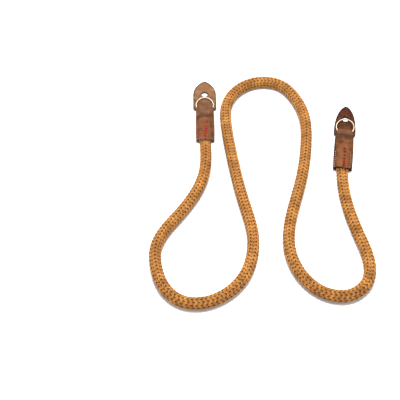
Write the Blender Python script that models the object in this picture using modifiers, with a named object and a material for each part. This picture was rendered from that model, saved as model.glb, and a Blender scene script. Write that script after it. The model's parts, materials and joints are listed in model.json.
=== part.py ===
"""Rope camera strap: a round braided rope lying in loose curves on a floor, and at each end
a folded leather sleeve, a split ring in its fold and a leather protector under the ring.

Metres, +Z up, the floor at z = 0. Each end has its own frame: its origin is on the floor
under the outer edge of the sleeve's fold, +Y points to the protector's tip and the rope
leaves towards -Y. Heights there are built up from the floor, layer by layer."""

import math

import bmesh
import bpy
import numpy as np
from mathutils import Vector

CLEARANCE = 0.0003  # between pieces that touch on the real strap

# The rope
ROPE_DIAMETER = 0.0116
ROPE_BEVEL_RESOLUTION = 4
ROPE_SHARP_DEG = 50.0
ROPE_POINTS = 62  # over the floor; the points in and by the sleeves come on top
ROPE_BEND_WEIGHT = 0.05  # a tight bend gets more of the points
ROPE_SETBACK = 0.0235  # from the fold to the rope's end, inside the sleeve
ROPE_FLAT_WIDTH = 0.012  # where the sleeve presses it flat
ROPE_FLAT_HEIGHT = 0.0038
ROPE_FLAT_POWER = 2.2  # 2 is an ellipse, more is squarer
ROPE_ROUND_AFTER = 0.012  # from the mouth to where it is round again
ROPE_LEAVES_STRAIGHT = 0.005
ROPE_GROW_ROWS = 4
ROUTE_STEPS = 40  # close points on the curve between two points of the route

# The leather sleeve: one strip, folded over the ring and sewn over the rope
SLEEVE_LENGTH = 0.052
SLEEVE_WIDTH = 0.0182
SLEEVE_SWELL = 0.0003  # how much wider each side is halfway down
SLEEVE_LEATHER = 0.0015
NECK_WIDTH = 0.014  # at most: it is squeezed where the ring is narrower
NECK_PLAY = 0.0006  # between the neck and the ring, on each side
NECK_LENGTH = 0.0015
SHOULDER_LENGTH = 0.0075  # over which the neck widens
FOLD_DEPTH = 0.0026  # from the fold's outer edge to where both layers run flat
DENT_FALL = 0.005  # the front layer's way down behind the ring
DENT_LIFT = 0.002  # how far the front layer stays clear of the back one there
BULGE_RISE = 0.0055  # its way up over the rope's end
BULGE_SIDE = 0.0016  # from the rope's side to the foot of the bulge
BULGE_ARCH = 0.002  # how much later the bulge starts at its sides
BULGE_POWER = 2.6
BULGE_SOFT = 0.15  # rounds the foot of the bulge
BULGE_LEAD = 0.0012  # how much earlier its middle is at full height
MOUTH_LIP = 0.0014  # how much further the front layer reaches over the rope than at its sides
RING_PLAY = 0.0008  # between the ring and the front layer over it
SEAT_SHARE = 1.12  # above 1, the back layer lies flat on the floor along its middle
FRONT_ROWS = (7, 5, 1, 5, 4)  # over the rope, up the bulge, in the dent, behind the ring, over it
FOLD_ROWS = 9
BACK_ROWS = (6, 4, 6)  # to the bulge, beside it, to the mouth
SLEEVE_SHARES = (0.0, 0.2, 0.38, 0.54, 0.68, 0.8, 0.91, 1.0)  # from the middle to a side

# The split ring: two turns of a flat wire
RING_DIAMETER = 0.0185
RING_WIRE_WIDTH = 0.0011
RING_WIRE_HEIGHT = 0.0006
RING_TURN_GAP = 0.0001
RING_STEP_DEG = 20.0
RING_SHARP_DEG = 35.0
RING_JOG_DEG = 40.0  # the wire steps up over this angle, between its two ends
RING_JOG_AT_DEG = -10.0

# The protector: a tab with a round tip, a hole, and a slot for the sleeve's neck
TAB_LENGTH = 0.0428
TAB_WIDTH = 0.0236
TAB_LEATHER = 0.0016
TAB_CORNER = 0.003
HOLE_DIAMETER = 0.0064
HOLE_FROM_TIP = 0.0196
STRIP_WIDTH = 0.0027  # the leather between the slot and the tab's lower edge
SLOT_PLAY = 0.0004  # beside the neck and over the fold
SLOT_BELOW_FOLD = 0.0001  # the slot's lower edge, past the fold
TAB_BEND_LENGTH = 0.007
TAB_BEND_CUTS = 6
TAB_TIP_POINTS = 14
TAB_CORNER_POINTS = 3
HOLE_POINTS = 16

# Where each end lies: the fold's place on the floor, its heading clockwise from +Y, how far
# the ring's middle is past the fold, and how far the ring leans up towards the tip
END_COLUMNS = ("name", "fold_x", "fold_y", "heading_deg", "ring_past_fold", "ring_lean_deg")
END_ROWS = (
    ("left", -0.0705, 0.0268, -0.5, -0.002, 17.5),
    ("right", 0.0695, -0.0104, 7.3, 0.0028, 16.0),
)

# How the two ends' leather was cut, as shares of the sizes above, and how pointed each
# protector's tip is, where 0.5 is an ellipse
CUT_COLUMNS = (
    "name", "sleeve_length", "mouth_lip", "tab_width", "taper_of_tab", "tip_power", "hole_from_tip",
)
CUT_ROWS = (
    ("left", 0.97, 0.35, 1.0, 0.467, 0.72, 1.0),
    ("right", 1.0, 1.0, 0.915, 0.794, 0.57, 0.938),
)

# The rope's route over the floor from the left mouth to the right one, chosen by hand
ROUTE = (
    (-0.0699, -0.0571),
    (-0.0731, -0.0768),
    (-0.0825, -0.1005),
    (-0.0957, -0.1225),
    (-0.1085, -0.1421),
    (-0.1158, -0.1626),
    (-0.1147, -0.1844),
    (-0.1065, -0.2073),
    (-0.0911, -0.2213),
    (-0.0717, -0.2228),
    (-0.0529, -0.2139),
    (-0.0376, -0.1968),
    (-0.0286, -0.1727),
    (-0.0268, -0.1439),
    (-0.0332, -0.1090),
    (-0.0422, -0.0590),
    (-0.0489, -0.0039),
    (-0.0472, 0.0284),
    (-0.0331, 0.0500),
    (-0.0125, 0.0590),
    (0.0077, 0.0543),
    (0.0210, 0.0372),
    (0.0289, 0.0142),
    (0.0299, -0.0240),
    (0.0212, -0.0801),
    (0.0093, -0.1271),
    (0.0066, -0.1649),
    (0.0162, -0.1934),
    (0.0340, -0.2116),
    (0.0547, -0.2152),
    (0.0721, -0.2023),
    (0.0775, -0.1779),
    (0.0714, -0.1469),
    (0.0642, -0.1129),
)

# Heights and places that follow from the sizes above
ROPE_RADIUS = ROPE_DIAMETER / 2
BULGE_HALF_WIDTH = ROPE_FLAT_WIDTH / 2 + BULGE_SIDE
BULGE_HEIGHT = (ROPE_FLAT_HEIGHT + CLEARANCE) / 2
SQUEEZE_S = -(FOLD_DEPTH + SLEEVE_LEATHER) / 2  # the ring comes out of the fold here
ROPE_END_S = -ROPE_SETBACK
ROPE_FLAT_AFTER = MOUTH_LIP + CLEARANCE  # it stays flat as far as the front layer reaches
LAYER_PITCH = SLEEVE_LEATHER + CLEARANCE
BACK_MID_Z = SLEEVE_LEATHER / 2
DENT_MID_Z = BACK_MID_Z + LAYER_PITCH + DENT_LIFT
ROPE_FLAT_Z = LAYER_PITCH + ROPE_FLAT_HEIGHT / 2
RING_RADIUS = RING_DIAMETER / 2
RING_HEIGHT = 2 * RING_WIRE_HEIGHT + RING_TURN_GAP
SLOT_TOP_S = SLOT_PLAY
SLOT_LOW_S = -FOLD_DEPTH - SLOT_BELOW_FOLD
TAB_LOW_S = SLOT_LOW_S - STRIP_WIDTH
TAB_TIP_S = TAB_LOW_S + TAB_LENGTH
TAB_LIFT = LAYER_PITCH


def collection(name):
    """A new collection in the scene."""
    made = bpy.data.collections.new(name)
    bpy.context.scene.collection.children.link(made)
    return made


def material(name, colour, roughness, metallic=0.0):
    """A plain Principled material."""
    made = bpy.data.materials.new(name)
    made.use_nodes = True
    shader = made.node_tree.nodes["Principled BSDF"]
    shader.inputs["Base Color"].default_value = (*colour, 1.0)
    shader.inputs["Roughness"].default_value = roughness
    shader.inputs["Metallic"].default_value = metallic
    made.diffuse_color = (*colour, 1.0)
    return made


def smoothstep(share):
    """0 to 1 with no slope at either end."""
    share = min(max(share, 0.0), 1.0)
    return share * share * (3.0 - 2.0 * share)


def spread(start, stop, steps):
    """Even values from start, up to but without stop."""
    return [start + (stop - start) * step / steps for step in range(steps)]


def stretches(ends, counts):
    """Even values over each stretch between neighbouring ends, with its own count of steps."""
    found = []
    for start, stop, steps in zip(ends, ends[1:], counts):
        found += spread(start, stop, steps)
    return found


def curve_to_mesh(curve, home, parts):
    """Make a curve object a mesh with welded caps, in the curve's place under its parent."""
    bpy.context.view_layer.update()
    evaluated = curve.evaluated_get(bpy.context.evaluated_depsgraph_get())
    mesh = bpy.data.meshes.new_from_object(evaluated)
    shape = bmesh.new()
    shape.from_mesh(mesh)
    bmesh.ops.remove_doubles(shape, verts=shape.verts, dist=1e-6)
    bmesh.ops.recalc_face_normals(shape, faces=shape.faces)
    shape.to_mesh(mesh)
    shape.free()
    name = curve.name
    made = bpy.data.objects.new(name, mesh)
    parts.objects.link(made)
    made.matrix_world = curve.matrix_world
    if home is not None:
        made.parent = home
        made.matrix_parent_inverse = home.matrix_world.inverted()
    data = curve.data
    bpy.data.objects.remove(curve)
    bpy.data.curves.remove(data)
    made.name = name
    mesh.name = name
    return made


class End:
    """One end of the strap: its frame on the floor and how its ring sits."""

    def __init__(self, row, helpers):
        values = dict(zip(END_COLUMNS, row))
        self.name = values["name"]
        self.ring_s = values["ring_past_fold"]
        self.lean = math.radians(values["ring_lean_deg"])
        cut = dict(zip(CUT_COLUMNS, next(row for row in CUT_ROWS if row[0] == self.name)))
        self.mouth_s = -SLEEVE_LENGTH * cut["sleeve_length"]
        self.lip = MOUTH_LIP * cut["mouth_lip"]
        self.tab_half = TAB_WIDTH / 2 * cut["tab_width"]
        self.taper = TAB_LENGTH * cut["taper_of_tab"]
        self.tip_power = cut["tip_power"]
        self.hole_s = TAB_TIP_S - HOLE_FROM_TIP * cut["hole_from_tip"]
        self.empty = bpy.data.objects.new(f"{self.name}_end", None)
        self.empty.location = (values["fold_x"], values["fold_y"], 0.0)
        self.empty.rotation_euler.z = -math.radians(values["heading_deg"])
        helpers.objects.link(self.empty)
        bpy.context.view_layer.update()
        self.matrix = self.empty.matrix_world.copy()
        self.ring_z = self.ring_height()
        self.ring_low_s = self.ring_s - RING_RADIUS * math.cos(self.lean)

    def ring_height(self):
        """Height of the ring's middle: it rests on the strip's lower edge or the back layer."""
        half_height = RING_HEIGHT / 2 / math.cos(self.lean)
        slope = math.tan(self.lean)
        on_strip = TAB_LIFT + TAB_LEATHER + CLEARANCE + (self.ring_s - TAB_LOW_S) * slope
        on_back = LAYER_PITCH + RING_RADIUS * math.sin(self.lean)
        return max(on_strip, on_back) + half_height

    def ring_top(self, s):
        """Height of the ring's upper face at a place along the end."""
        middle = self.ring_z + RING_HEIGHT / 2 / math.cos(self.lean)
        return middle + (s - self.ring_s) * math.tan(self.lean)

    def floor_point(self, s):
        """The place on the floor at s along this end's middle line."""
        point = self.matrix @ Vector((0.0, s, 0.0))
        return (point.x, point.y)


def neck_half_width(end, s):
    """Half the neck's width: it fills the ring, and is squeezed where the ring is narrower."""
    inner = RING_RADIUS - RING_WIRE_WIDTH
    inside_fold = max(s - SLEEVE_LEATHER / 2, SQUEEZE_S)
    past_middle = (inside_fold - end.ring_s) / math.cos(end.lean)
    squeezed = min(NECK_WIDTH / 2, math.sqrt(max(0.0, inner**2 - past_middle**2)) - NECK_PLAY)
    over_ring = smoothstep((SQUEEZE_S - s) / NECK_LENGTH)
    return squeezed + (NECK_WIDTH / 2 - squeezed) * over_ring


def half_width(end, s):
    """Half the sleeve's width at s: the neck, the shoulder and a slight swell."""
    neck = neck_half_width(end, s)
    full = SLEEVE_WIDTH / 2
    shoulder = smoothstep((-s - NECK_LENGTH) / SHOULDER_LENGTH)
    below = max(0.0, -s - NECK_LENGTH - SHOULDER_LENGTH)
    swell = SLEEVE_SWELL * math.sin(math.pi * below / (SLEEVE_LENGTH - NECK_LENGTH - SHOULDER_LENGTH))
    return neck + (full - neck) * shoulder + swell


def bulge(x):
    """Share of the bulge over the rope: 1 in the middle, softly to 0 at its foot."""
    rise = 1.0 - (abs(x) / BULGE_HALF_WIDTH) ** BULGE_POWER
    return (rise + math.hypot(rise, BULGE_SOFT)) / (1.0 + math.hypot(1.0, BULGE_SOFT))


def over_rope(x, s):
    """0 before the rope's end, 1 over the rope. It starts later at the sides, as an arch."""
    start = ROPE_END_S + CLEARANCE + BULGE_RISE
    arch = BULGE_ARCH * (x / BULGE_HALF_WIDTH) ** 2
    return smoothstep((start + BULGE_LEAD - arch - s) / BULGE_RISE)


def front_mid(end, x, s):
    """Middle height of the sleeve's front layer: over the ring, down, and up over the rope."""
    cover = end.ring_top(max(s, end.ring_low_s - DENT_FALL)) + RING_PLAY + SLEEVE_LEATHER / 2
    fall = smoothstep((end.ring_low_s - s) / DENT_FALL)
    ring_part = (cover - DENT_MID_Z) * (1.0 - fall)
    flange = ROPE_FLAT_Z + LAYER_PITCH / 2 - DENT_MID_Z
    rope_part = (flange + BULGE_HEIGHT * bulge(x)) * over_rope(x, s)
    return DENT_MID_Z + ring_part + rope_part


def back_mid(x, s):
    """Middle height of the back layer: flat on the floor, its edges up at the rope."""
    edge = ROPE_FLAT_Z - LAYER_PITCH / 2 - BACK_MID_Z
    lift = max(0.0, edge - SEAT_SHARE * edge * bulge(x))
    return BACK_MID_Z + lift * over_rope(x, s)


def sleeve_rows(end):
    """Points (s, layer) along the folded strip: front layer, fold, back layer."""
    bulge_full = ROPE_END_S + CLEARANCE
    bulge_start = bulge_full + BULGE_RISE
    dent = end.ring_low_s - DENT_FALL
    front_ends = (end.mouth_s, bulge_full, bulge_start, dent, end.ring_low_s, -FOLD_DEPTH)
    back_ends = (-FOLD_DEPTH, bulge_start, bulge_full, end.mouth_s)
    front = stretches(front_ends, FRONT_ROWS)
    back = stretches(back_ends, BACK_ROWS) + [end.mouth_s]
    rows = [(s, "front") for s in front]
    rows += [(turn, "fold") for turn in spread(math.pi / 2, -math.pi / 2, FOLD_ROWS)]
    rows += [(s, "back") for s in back]
    return rows


def sleeve_point(end, share, place, layer):
    """One point of the strip's middle surface, share from -1 to 1 across it."""
    if layer == "fold":
        reach = FOLD_DEPTH - SLEEVE_LEATHER / 2
        top = front_mid(end, 0.0, -FOLD_DEPTH)
        s = -FOLD_DEPTH + reach * math.cos(place)
        z = (top + BACK_MID_Z) / 2 + (top - BACK_MID_Z) / 2 * math.sin(place)
        return (share * half_width(end, s), s, z)
    x = share * half_width(end, place)
    if layer == "back":
        return (x, place, back_mid(x, place))
    reach = smoothstep((ROPE_END_S - place) / (ROPE_END_S - end.mouth_s))
    return (x, place - end.lip * bulge(x) * reach, front_mid(end, x, place))


def make_sleeve(end, parts, leather):
    """The folded strip: a grid laid along the fold, thickened to the leather's wall."""
    rows = sleeve_rows(end)
    across = [-share for share in reversed(SLEEVE_SHARES[1:])] + list(SLEEVE_SHARES)
    shape = bmesh.new()
    bmesh.ops.create_grid(shape, x_segments=len(across) - 1, y_segments=len(rows) - 1, size=1.0)
    for vert in shape.verts:
        column = round((vert.co.x + 1.0) / 2.0 * (len(across) - 1))
        row = round((vert.co.y + 1.0) / 2.0 * (len(rows) - 1))
        vert.co = sleeve_point(end, across[column], *rows[row])
    mesh = bpy.data.meshes.new(f"{end.name}_sleeve")
    shape.to_mesh(mesh)
    shape.free()
    made = bpy.data.objects.new(f"{end.name}_sleeve", mesh)
    made.parent = end.empty
    parts.objects.link(made)
    wall = made.modifiers.new("leather", "SOLIDIFY")
    wall.thickness = SLEEVE_LEATHER
    wall.offset = 0.0
    wall.use_even_offset = True
    wall.use_quality_normals = True
    mesh.materials.append(leather)
    mesh.shade_smooth()
    return made


def ring_profile(helpers):
    """The flat wire's section, its outer edge bevelled."""
    data = bpy.data.curves.new("ring_wire", "CURVE")
    data.dimensions = "2D"
    inner = -RING_WIRE_WIDTH / 2
    outer = RING_WIRE_WIDTH / 2
    high = RING_WIRE_HEIGHT / 2
    bevel = RING_WIRE_HEIGHT / 4
    corners = ((inner, -high), (outer - bevel, -high), (outer, -high + bevel))
    corners += ((outer, high - bevel), (outer - bevel, high), (inner, high))
    spline = data.splines.new("POLY")
    spline.points.add(len(corners) - 1)
    for point, (x, y) in zip(spline.points, corners):
        point.co = (x, y, 0.0, 1.0)
    spline.use_cyclic_u = True
    made = bpy.data.objects.new("ring_wire", data)
    made.hide_render = True
    made.display_type = "WIRE"
    helpers.objects.link(made)
    return made


def make_ring(end, parts, profile, metal):
    """Two turns of flat wire that step up between the wire's two ends."""
    data = bpy.data.curves.new(f"{end.name}_ring", "CURVE")
    data.dimensions = "3D"
    data.twist_mode = "Z_UP"
    data.bevel_mode = "OBJECT"
    data.bevel_object = profile
    data.use_fill_caps = True
    sweep = 720.0 - RING_JOG_DEG - RING_STEP_DEG / 2
    count = round(sweep / RING_STEP_DEG) + 1
    spline = data.splines.new("POLY")
    spline.points.add(count - 1)
    middle = RING_RADIUS - RING_WIRE_WIDTH / 2
    pitch = RING_WIRE_HEIGHT + RING_TURN_GAP
    for index, point in enumerate(spline.points):
        turned = sweep * index / (count - 1)
        rise = smoothstep((turned - 360.0 + RING_JOG_DEG) / RING_JOG_DEG)
        angle = math.radians(turned + RING_JOG_AT_DEG)
        z = pitch * (rise - 0.5)
        point.co = (middle * math.cos(angle), middle * math.sin(angle), z, 1.0)
    curve = bpy.data.objects.new(f"{end.name}_ring", data)
    curve.parent = end.empty
    curve.location = (0.0, end.ring_s, end.ring_z)
    curve.rotation_euler.x = end.lean
    parts.objects.link(curve)
    made = curve_to_mesh(curve, end.empty, parts)
    made.data.materials.clear()
    made.data.materials.append(metal)
    made.data.shade_smooth()
    made.data.set_sharp_from_angle(angle=math.radians(RING_SHARP_DEG))
    return made


def tab_half_width(end, s):
    """Half the protector's width: a long round taper to the tip, and rounded lower corners."""
    from_tip = min(TAB_TIP_S - s, end.taper)
    width = end.tab_half * (1.0 - (1.0 - from_tip / end.taper) ** 2) ** end.tip_power
    from_low = min(s - TAB_LOW_S, TAB_CORNER)
    corner = TAB_CORNER - math.sqrt(max(0.0, TAB_CORNER**2 - (TAB_CORNER - from_low) ** 2))
    return width - corner


def tab_outline(end):
    """The protector's outline, once round."""
    side = []
    for step in spread(0.0, math.pi / 2, TAB_CORNER_POINTS):
        side.append(TAB_LOW_S + TAB_CORNER * (1.0 - math.cos(step)))
    taper_foot = TAB_TIP_S - end.taper
    side += spread(TAB_LOW_S + TAB_CORNER, taper_foot, 1)
    for step in spread(0.0, math.pi / 2, TAB_TIP_POINTS):
        side.append(taper_foot + end.taper * math.sin(step))
    right = [(tab_half_width(end, s), s) for s in side]
    left = [(-x, s) for x, s in reversed(right)]
    return right + [(0.0, TAB_TIP_S)] + left


def hole_outline(end):
    """The round hole near the tip."""
    centre = end.hole_s
    radius = HOLE_DIAMETER / 2
    turns = spread(0.0, 2.0 * math.pi, HOLE_POINTS)
    return [(radius * math.cos(turn), centre + radius * math.sin(turn)) for turn in turns]


def slot_outline(end):
    """The slot that the sleeve's neck goes down through."""
    side = max(half_width(end, s) for s in (-FOLD_DEPTH, -FOLD_DEPTH / 2, 0.0)) + SLOT_PLAY
    return [(side, SLOT_LOW_S), (side, SLOT_TOP_S), (-side, SLOT_TOP_S), (-side, SLOT_LOW_S)]


def make_protector(end, parts, leather):
    """A flat tab with its hole and slot, bent up where it lies over the sleeve's back layer."""
    data = bpy.data.curves.new(f"{end.name}_protector", "CURVE")
    data.dimensions = "2D"
    data.fill_mode = "BOTH"
    data.extrude = TAB_LEATHER / 2
    for outline in (tab_outline(end), hole_outline(end), slot_outline(end)):
        spline = data.splines.new("POLY")
        spline.points.add(len(outline) - 1)
        for point, (x, y) in zip(spline.points, outline):
            point.co = (x, y, 0.0, 1.0)
        spline.use_cyclic_u = True
    curve = bpy.data.objects.new(f"{end.name}_protector", data)
    curve.parent = end.empty
    parts.objects.link(curve)
    made = curve_to_mesh(curve, end.empty, parts)
    bend_start = SLOT_TOP_S + SLOT_PLAY
    shape = bmesh.new()
    shape.from_mesh(made.data)
    bend_end = bend_start + TAB_BEND_LENGTH
    for s in spread(bend_start, bend_end, TAB_BEND_CUTS) + [bend_end]:
        everything = shape.verts[:] + shape.edges[:] + shape.faces[:]
        bmesh.ops.bisect_plane(shape, geom=everything, dist=1e-7, plane_co=(0, s, 0), plane_no=(0, 1, 0))
    bmesh.ops.triangulate(shape, faces=shape.faces[:])
    for vert in shape.verts:
        down = smoothstep((vert.co.y - bend_start) / TAB_BEND_LENGTH)
        vert.co.z += TAB_LEATHER / 2 + TAB_LIFT * (1.0 - down)
    shape.to_mesh(made.data)
    shape.free()
    made.data.materials.clear()
    made.data.materials.append(leather)
    return made


def route_points(ends):
    """The route's own points: along the left sleeve, over the floor, into the right sleeve."""
    by_sleeve = []
    for end in ends:
        outside = end.mouth_s - ROPE_LEAVES_STRAIGHT
        along = (ROPE_END_S, (ROPE_END_S + outside) / 2, outside)
        by_sleeve.append([end.floor_point(s) for s in along])
    return np.array(by_sleeve[0] + list(ROUTE) + by_sleeve[1][::-1])


def smooth_route(points):
    """Close points on a cubic spline through the route, with no sudden change of bend."""
    gaps = np.linalg.norm(np.diff(points, axis=0), axis=1)
    size = len(points)
    weights = np.zeros((size, size))
    pull = np.zeros((size, 2))
    weights[0, 0] = weights[-1, -1] = 1.0
    pull[0] = (points[1] - points[0]) / gaps[0]
    pull[-1] = (points[-1] - points[-2]) / gaps[-1]
    for i in range(1, size - 1):
        before, after = gaps[i - 1], gaps[i]
        weights[i, i - 1 : i + 2] = (after, 2.0 * (before + after), before)
        step_in = (points[i] - points[i - 1]) * after / before
        step_out = (points[i + 1] - points[i]) * before / after
        pull[i] = 3.0 * (step_in + step_out)
    slopes = np.linalg.solve(weights, pull)
    fine = []
    for i in range(size - 1):
        for t in np.linspace(0.0, 1.0, ROUTE_STEPS, endpoint=False):
            near = (1.0 + 2.0 * t) * (1.0 - t) ** 2
            leave = t * (1.0 - t) ** 2 * gaps[i]
            arrive = -(t**2) * (1.0 - t) * gaps[i]
            point = near * points[i] + (1.0 - near) * points[i + 1]
            fine.append(point + leave * slopes[i] + arrive * slopes[i + 1])
    fine.append(points[-1])
    return np.array(fine)


def rope_line(ends):
    """The rope's middle line: a few points in and by each sleeve, the rest closer in the bends."""
    fine = smooth_route(route_points(ends))
    steps = np.diff(fine, axis=0)
    lengths = np.linalg.norm(steps, axis=1)
    run = np.concatenate(([0.0], np.cumsum(lengths)))
    turned = np.unwrap(np.arctan2(steps[:, 1], steps[:, 0]))
    bend = np.abs(np.gradient(turned, run[:-1] + lengths / 2))
    effort = np.concatenate(([0.0], np.cumsum(lengths * (1.0 + ROPE_BEND_WEIGHT * bend))))
    by_sleeve = []
    round_at = []
    for end in ends:
        grip = ROPE_END_S - end.mouth_s
        growing = spread(ROPE_FLAT_AFTER, ROPE_ROUND_AFTER, ROPE_GROW_ROWS)
        by_sleeve.append(np.array([0.0, grip / 2] + [grip + out for out in growing]))
        round_at.append(grip + ROPE_ROUND_AFTER)
    first, last = np.interp((round_at[0], run[-1] - round_at[1]), run, effort)
    floor = np.interp(np.linspace(first, last, ROPE_POINTS), effort, run)
    stations = np.concatenate((by_sleeve[0], floor, run[-1] - by_sleeve[1][::-1]))
    return np.column_stack([np.interp(stations, run, fine[:, axis]) for axis in (0, 1)])


def flatten_rope(shape, end):
    """Press the rope flat in the sleeve, and let it grow round again past the mouth."""
    into = end.matrix.inverted()
    reach = SLEEVE_WIDTH / 2
    for vert in shape.verts:
        local = into @ vert.co
        out = end.mouth_s - local.y
        if abs(local.x) > reach or local.y > 0.0 or out > ROPE_ROUND_AFTER:
            continue
        pressed = 1.0 - smoothstep((out - ROPE_FLAT_AFTER) / (ROPE_ROUND_AFTER - ROPE_FLAT_AFTER))
        across = local.x / ROPE_RADIUS
        upward = (local.z - ROPE_RADIUS) / ROPE_RADIUS
        flat_x = math.copysign(abs(across) ** (2.0 / ROPE_FLAT_POWER), across) * ROPE_FLAT_WIDTH / 2
        flat_z = math.copysign(abs(upward) ** (2.0 / ROPE_FLAT_POWER), upward) * ROPE_FLAT_HEIGHT / 2
        local.x += (flat_x - local.x) * pressed
        local.z += (ROPE_FLAT_Z + flat_z - local.z) * pressed
        vert.co = end.matrix @ local


def make_rope(ends, parts, fibre):
    """A tube along the route, pressed flat in both sleeves."""
    data = bpy.data.curves.new("rope", "CURVE")
    data.dimensions = "3D"
    data.twist_mode = "Z_UP"
    data.bevel_depth = ROPE_RADIUS
    data.bevel_resolution = ROPE_BEVEL_RESOLUTION
    data.use_fill_caps = True
    line = rope_line(ends)
    spline = data.splines.new("POLY")
    spline.points.add(len(line) - 1)
    for point, (x, y) in zip(spline.points, line):
        point.co = (x, y, ROPE_RADIUS, 1.0)
    curve = bpy.data.objects.new("rope", data)
    parts.objects.link(curve)
    made = curve_to_mesh(curve, None, parts)
    shape = bmesh.new()
    shape.from_mesh(made.data)
    for end in ends:
        flatten_rope(shape, end)
    shape.to_mesh(made.data)
    shape.free()
    made.data.materials.clear()
    made.data.materials.append(fibre)
    made.data.shade_smooth()
    made.data.set_sharp_from_angle(angle=math.radians(ROPE_SHARP_DEG))
    return made


def main():
    for thing in list(bpy.data.objects):
        bpy.data.objects.remove(thing)
    parts = collection("rope_camera_strap")
    helpers = collection("helpers")
    fibre = material("rope_fibre", (0.60, 0.26, 0.05), 0.8)
    sleeve_leather = material("sleeve_leather", (0.30, 0.115, 0.065), 0.5)
    tab_leather = material("protector_leather", (0.36, 0.16, 0.08), 0.5)
    metal = material("ring_nickel", (0.80, 0.78, 0.74), 0.2, metallic=1.0)
    ends = [End(row, helpers) for row in END_ROWS]
    profile = ring_profile(helpers)
    make_rope(ends, parts, fibre)
    for end in ends:
        make_sleeve(end, parts, sleeve_leather)
        make_ring(end, parts, profile, metal)
        make_protector(end, parts, tab_leather)


main()
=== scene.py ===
"""The rope camera strap in a pale studio: braided strands over the rope's core, sewn leather
sleeves with rounded painted edges, split rings of flat nickel wire, and leather protectors.

Each leather end has its own frame, as in the model: x across it, s along it from the fold
towards the protector's tip, and z up from the floor."""

import json
import math

import bmesh
import bpy
import numpy as np
from mathutils import Matrix, Vector, noise
from mathutils.bvhtree import BVHTree

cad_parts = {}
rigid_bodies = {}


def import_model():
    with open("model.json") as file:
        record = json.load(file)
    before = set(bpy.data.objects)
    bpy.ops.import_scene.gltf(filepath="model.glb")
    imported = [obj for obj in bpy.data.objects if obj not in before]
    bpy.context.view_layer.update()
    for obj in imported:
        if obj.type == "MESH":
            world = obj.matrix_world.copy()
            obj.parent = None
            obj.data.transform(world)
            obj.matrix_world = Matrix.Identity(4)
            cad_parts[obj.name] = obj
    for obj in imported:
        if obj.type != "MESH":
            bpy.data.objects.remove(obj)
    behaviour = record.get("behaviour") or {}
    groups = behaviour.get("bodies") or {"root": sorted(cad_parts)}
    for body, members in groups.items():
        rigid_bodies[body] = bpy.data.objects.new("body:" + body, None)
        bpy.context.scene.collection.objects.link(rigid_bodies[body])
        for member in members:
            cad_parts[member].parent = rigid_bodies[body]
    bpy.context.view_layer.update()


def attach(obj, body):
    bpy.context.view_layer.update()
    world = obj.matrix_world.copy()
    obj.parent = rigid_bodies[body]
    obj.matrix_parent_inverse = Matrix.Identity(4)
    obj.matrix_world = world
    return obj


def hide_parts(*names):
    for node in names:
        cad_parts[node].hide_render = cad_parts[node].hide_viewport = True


# The model's own sizes, in metres, under the names that the part's source gives them
CLEARANCE = 0.0003

# The rope, round outside the sleeves and pressed flat inside them
ROPE_RADIUS = 0.0058
ROPE_SETBACK = 0.0235
ROPE_FLAT_WIDTH = 0.012
ROPE_FLAT_HEIGHT = 0.0038
ROPE_FLAT_POWER = 2.2
ROPE_ROUND_AFTER = 0.012
ROPE_LEAVES_STRAIGHT = 0.005
ROUTE_STEPS = 40

# The sleeve: a strip folded round the ring, with a bulge over the rope
SLEEVE_LENGTH = 0.052
SLEEVE_WIDTH = 0.0182
SLEEVE_SWELL = 0.0003
SLEEVE_LEATHER = 0.0015
NECK_WIDTH = 0.014
NECK_PLAY = 0.0006
NECK_LENGTH = 0.0015
SHOULDER_LENGTH = 0.0075
FOLD_DEPTH = 0.0026
DENT_FALL = 0.005
DENT_LIFT = 0.002
BULGE_RISE = 0.0055
BULGE_SIDE = 0.0016
BULGE_ARCH = 0.002
BULGE_POWER = 2.6
BULGE_SOFT = 0.15
BULGE_LEAD = 0.0012
MOUTH_LIP = 0.0014
RING_PLAY = 0.0008
SEAT_SHARE = 1.12

# The split ring: two turns of flat wire with a step between them
RING_DIAMETER = 0.0185
RING_WIRE_WIDTH = 0.0011
RING_WIRE_HEIGHT = 0.0006
RING_TURN_GAP = 0.0001
RING_JOG_DEG = 40.0
RING_JOG_AT_DEG = -10.0

# The protector: a leather tab with a round hole and a slot for the sleeve's neck
TAB_LENGTH = 0.0428
TAB_WIDTH = 0.0236
TAB_LEATHER = 0.0016
TAB_CORNER = 0.003
HOLE_DIAMETER = 0.0064
HOLE_FROM_TIP = 0.0196
STRIP_WIDTH = 0.0027
SLOT_PLAY = 0.0004
SLOT_BELOW_FOLD = 0.0001
TAB_BEND_LENGTH = 0.007

# Where each leather end lies on the floor, and how its ring lies in the fold
END_COLUMNS = ("name", "fold_x", "fold_y", "heading_deg", "ring_past_fold", "ring_lean_deg")
END_ROWS = (
    ("left", -0.0705, 0.0268, -0.5, -0.002, 17.5),
    ("right", 0.0695, -0.0104, 7.3, 0.0028, 16.0),
)

# How each end is cut, as shares of the sizes above
CUT_COLUMNS = (
    "name", "sleeve_length", "mouth_lip", "tab_width", "taper_of_tab", "tip_power", "hole_from_tip",
)
CUT_ROWS = (
    ("left", 0.97, 0.35, 1.0, 0.467, 0.72, 1.0),
    ("right", 1.0, 1.0, 0.915, 0.794, 0.57, 0.938),
)

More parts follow.
